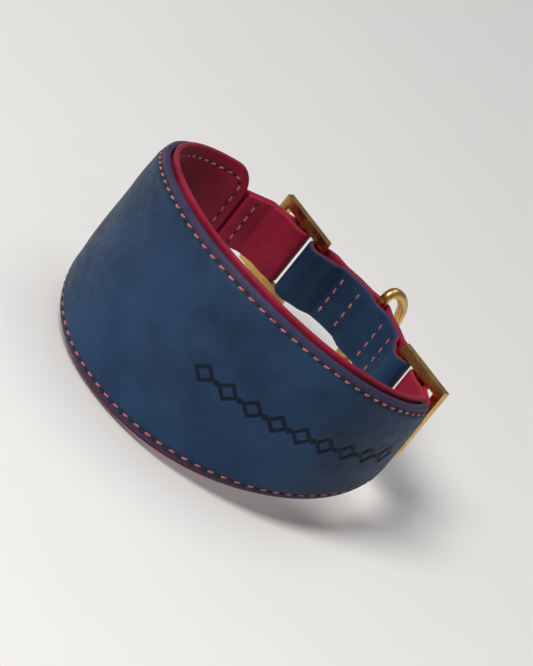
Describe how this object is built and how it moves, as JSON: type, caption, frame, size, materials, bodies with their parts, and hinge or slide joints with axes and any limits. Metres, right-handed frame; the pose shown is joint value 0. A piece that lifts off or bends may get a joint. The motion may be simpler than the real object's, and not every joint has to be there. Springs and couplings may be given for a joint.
{
  "type": "martingale collar",
  "caption": "Wide leather martingale dog collar: a tapered padded band, two brass three-bar frames, a control strap and a D-ring for the leash.",
  "frame": {"origin": "centre of the neck opening, on the middle plane of the band", "axes": "+Z along the neck axis, toward the dog's head; +X toward the closure in front of the throat; -Y is the dog's right side"},
  "size_m": [0.0949, 0.0886, 0.0506],
  "materials": {
    "navy_leather": "smooth waxed navy leather with a soft sheen",
    "crimson_leather": "smooth crimson lining leather",
    "foam": "dark soft padding, hidden inside the band",
    "coral_thread": "coral pink waxed thread",
    "brass": "polished cast brass"
  },
  "bodies": {
    "band_right": {"outer_leather_right": "navy_leather", "padding_right": "foam", "lining_right": "crimson_leather", "upper_stitching_right": "coral_thread", "lower_stitching_right": "coral_thread", "end_stitching_right": "coral_thread", "end_tab_right": "crimson_leather", "tab_stitching_right": "coral_thread"},
    "band_left": {"outer_leather_left": "navy_leather", "padding_left": "foam", "lining_left": "crimson_leather", "upper_stitching_left": "coral_thread", "lower_stitching_left": "coral_thread", "end_stitching_left": "coral_thread", "end_tab_left": "crimson_leather", "tab_stitching_left": "coral_thread"},
    "frame_right": {"frame_right": "brass"},
    "frame_left": {"frame_left": "brass"},
    "control_right": {"control_strap_right": "navy_leather", "control_stitching_right": "coral_thread"},
    "control_left": {"control_strap_left": "navy_leather", "control_stitching_left": "coral_thread"},
    "leash_ring": {"leash_ring": "brass"}
  },
  "joints": [
    {"name": "band_cinch", "type": "hinge", "parent": "band_right", "child": "band_left", "pos_m": [-0.042, 0, 0], "axis": [0, 0, -1], "range_deg": [0, 8]},
    {"name": "frame_right_pivot", "type": "hinge", "parent": "band_right", "child": "frame_right", "pos_m": [0.03, -0.0253, 0], "axis": [0, 0, -1], "range_deg": [0, 4.05]},
    {"name": "frame_left_pivot", "type": "hinge", "parent": "band_left", "child": "frame_left", "pos_m": [0.03, 0.0253, 0], "axis": [0, 0, 1], "range_deg": [0, 4.05]},
    {"name": "control_right_swing", "type": "hinge", "parent": "frame_right", "child": "control_right", "pos_m": [0.03, -0.0181, 0], "axis": [0, 0, -1], "range_deg": [0, 16.02]},
    {"name": "control_fold", "type": "hinge", "parent": "control_right", "child": "control_left", "pos_m": [0.038, 0, 0], "axis": [0, 0, 1], "range_deg": [0, 45.77]},
    {"name": "leash_ring_swing", "type": "hinge", "parent": "control_right", "child": "leash_ring", "pos_m": [0.038, 0, 0], "axis": [0, 0, 1], "range_deg": [-75, 75]}
  ],
  "couplings": [
    {"joint": "frame_right_pivot", "follows": "band_cinch", "ratio": 0.5},
    {"joint": "frame_left_pivot", "follows": "band_cinch", "ratio": 0.5},
    {"joint": "control_right_swing", "follows": "band_cinch", "ratio": 1.99},
    {"joint": "control_fold", "follows": "band_cinch", "ratio": 5.696}
  ]
}
